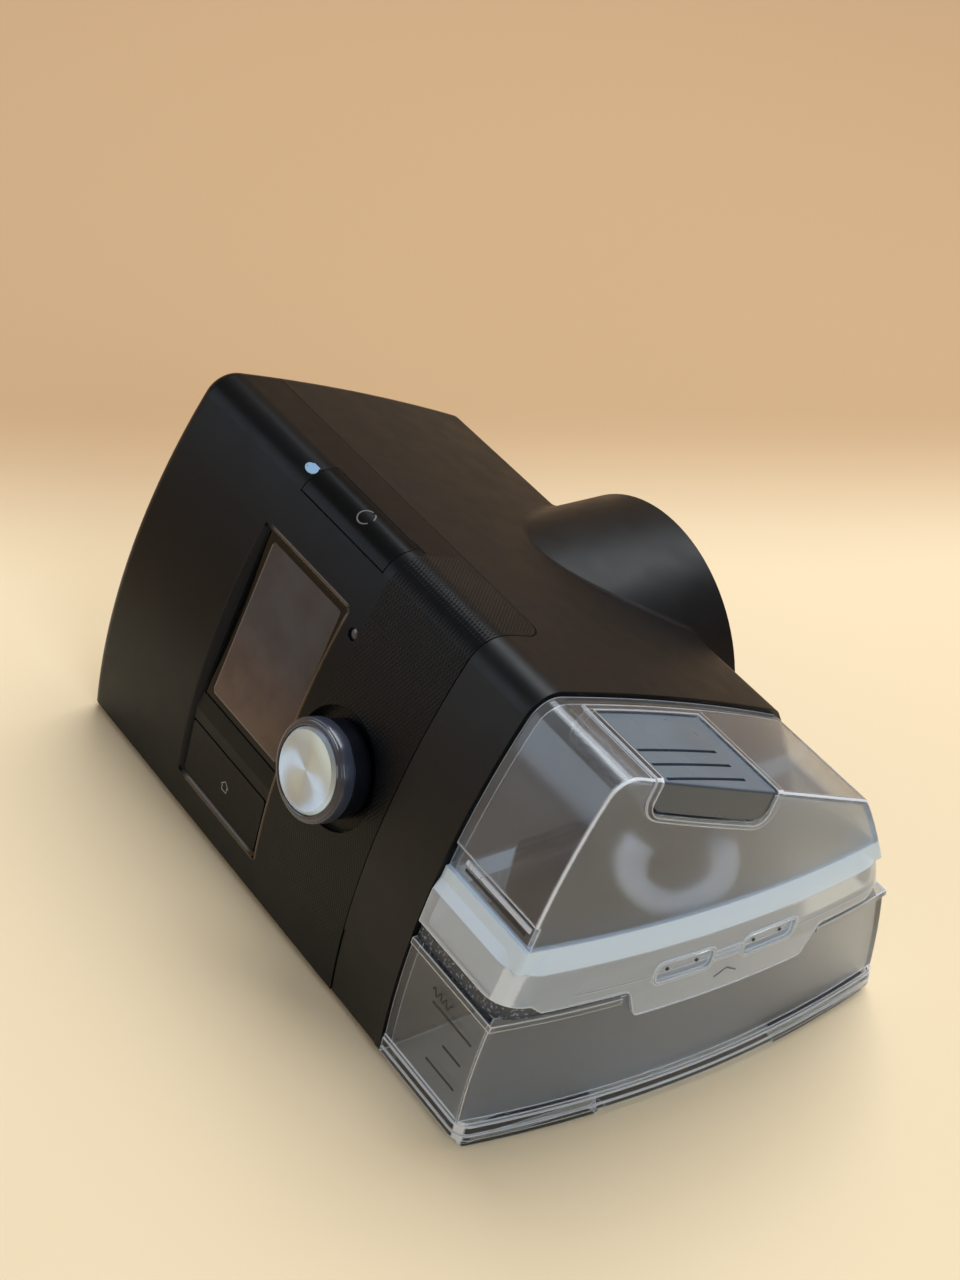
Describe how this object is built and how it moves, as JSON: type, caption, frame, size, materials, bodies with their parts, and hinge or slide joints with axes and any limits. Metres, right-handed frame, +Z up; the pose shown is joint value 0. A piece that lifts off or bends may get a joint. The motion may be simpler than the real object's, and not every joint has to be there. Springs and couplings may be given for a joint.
{
  "type": "cpap machine",
  "caption": "Black bedside breathing machine with a screen, a turning dial, push buttons and a clear water tub that slides out of its side.",
  "frame": {"origin": "bottom centre of the bounding box, at the height that the machine stands on", "axes": "+X along the width from the blank end to the water tub, +Y from the front to the back, +Z up"},
  "size_m": [0.205, 0.1574, 0.116],
  "materials": {
    "board_green": "circuit board",
    "case_black": "satin, fine moulded grain",
    "clear_light": "clear",
    "dial_black": "high gloss",
    "dial_metal": "spun face",
    "dial_smoke": "smoky clear",
    "fascia_black": "satin to glossy with tiny raised dots",
    "filter_white": "fibrous",
    "heater_metal": "plain",
    "key_black": "satin gloss",
    "latch_blue": "smooth",
    "part_black": "plain",
    "part_grey": "plain",
    "part_white": "plain",
    "screen_gloss": "high gloss",
    "soft_black": "matt",
    "steel": "plain",
    "tub_clear": "clear, frosted on the ends",
    "tub_seal": "translucent grey"
  },
  "bodies": {
    "chassis": {"front_fascia": "fascia_black", "main_case": "case_black", "dock_liner": "part_black", "outlet_cup": "case_black", "filter_tray": "part_black", "power_tray": "part_black", "base_cover": "case_black", "rubber_feet": "soft_black", "base_screws": "steel", "screen_glass": "screen_gloss", "screen_module": "part_grey", "screen_frame": "part_black", "display_board": "board_green", "light_sensor": "dial_smoke", "light_pipe": "clear_light", "home_switch": "part_black", "start_switch": "part_black", "start_board": "board_green", "dial_encoder": "part_black", "main_board": "board_green", "sd_socket": "steel", "adapter_socket": "part_black", "blower_base": "part_grey", "blower_cover": "part_grey", "blower_bearing": "steel", "blower_motor": "part_black", "blower_mounts": "soft_black", "blower_duct": "soft_black", "outlet_connector": "part_black", "outlet_duct": "soft_black", "port_seals": "soft_black", "heater_plate": "heater_metal", "heater_pad": "soft_black", "air_filter": "filter_white", "filter_pin": "steel", "power_inlet": "part_black", "clip_pin": "steel", "sd_pin": "steel"},
    "start_key": {"start_stop_button": "key_black"},
    "home_key": {"home_button": "key_black"},
    "dial_carrier": {"dial_plunger": "steel"},
    "dial": {"dial_shaft": "steel", "dial_skirt": "dial_black", "dial_ring": "dial_smoke", "dial_cap": "dial_metal"},
    "rotor": {"impeller": "part_white", "motor_shaft": "steel"},
    "tub": {"tub_base": "tub_clear", "tub_plate": "heater_metal", "tub_seal": "tub_seal", "tub_lid": "tub_clear"},
    "latch": {"latch_pad": "latch_blue"},
    "filter_door": {"filter_cover": "case_black"},
    "plug_clip": {"retention_clip": "part_black"},
    "sd_door": {"sd_card_cover": "case_black"},
    "adapter_door": {"adapter_cover": "case_black"}
  },
  "joints": [
    {"name": "dial_press", "type": "slide", "parent": "chassis", "child": "dial_carrier", "axis": [0, 0.9722, -0.234], "range_m": [0, 0.0008], "stiffness_N_per_m": 900, "springref_m": -0.0004},
    {"name": "dial_turn", "type": "hinge", "parent": "dial_carrier", "child": "dial", "pos_m": [0.0105, -0.06455, 0.0615], "axis": [0, 0.9722, -0.234], "continuous": true},
    {"name": "start_press", "type": "slide", "parent": "chassis", "child": "start_key", "axis": [0, 0.4116, -0.9114], "range_m": [0, 0.0008], "stiffness_N_per_m": 700, "springref_m": -0.0004},
    {"name": "home_press", "type": "slide", "parent": "chassis", "child": "home_key", "axis": [0, 0.9989, -0.0472], "range_m": [0, 0.0006], "stiffness_N_per_m": 700, "springref_m": -0.0004},
    {"name": "tub_slide", "type": "slide", "parent": "chassis", "child": "tub", "axis": [1, 0, 0], "range_m": [0, 0.052]},
    {"name": "latch_press", "type": "slide", "parent": "tub", "child": "latch", "axis": [0, -0.315, -0.9491], "range_m": [0, 0.001], "stiffness_N_per_m": 1200, "springref_m": -0.0004},
    {"name": "filter_hinge", "type": "hinge", "parent": "chassis", "child": "filter_door", "pos_m": [-0.07825, 0.06164, 0.0505], "axis": [-1, 0, 0], "range_deg": [0, 78]},
    {"name": "clip_hinge", "type": "hinge", "parent": "chassis", "child": "plug_clip", "pos_m": [-0.069, 0.06667, 0.032], "axis": [1, 0, 0], "range_deg": [0, 88]},
    {"name": "sd_hinge", "type": "hinge", "parent": "chassis", "child": "sd_door", "pos_m": [-0.10035, -0.01933, 0.021], "axis": [0, -1, 0], "range_deg": [0, 78]},
    {"name": "adapter_pull", "type": "slide", "parent": "chassis", "child": "adapter_door", "axis": [-1, 0, 0], "range_m": [0, 0.014]},
    {"name": "blower_turn", "type": "hinge", "parent": "chassis", "child": "rotor", "pos_m": [-0.044, 0.01767, 0.012], "axis": [0, 0, 1], "continuous": true}
  ]
}
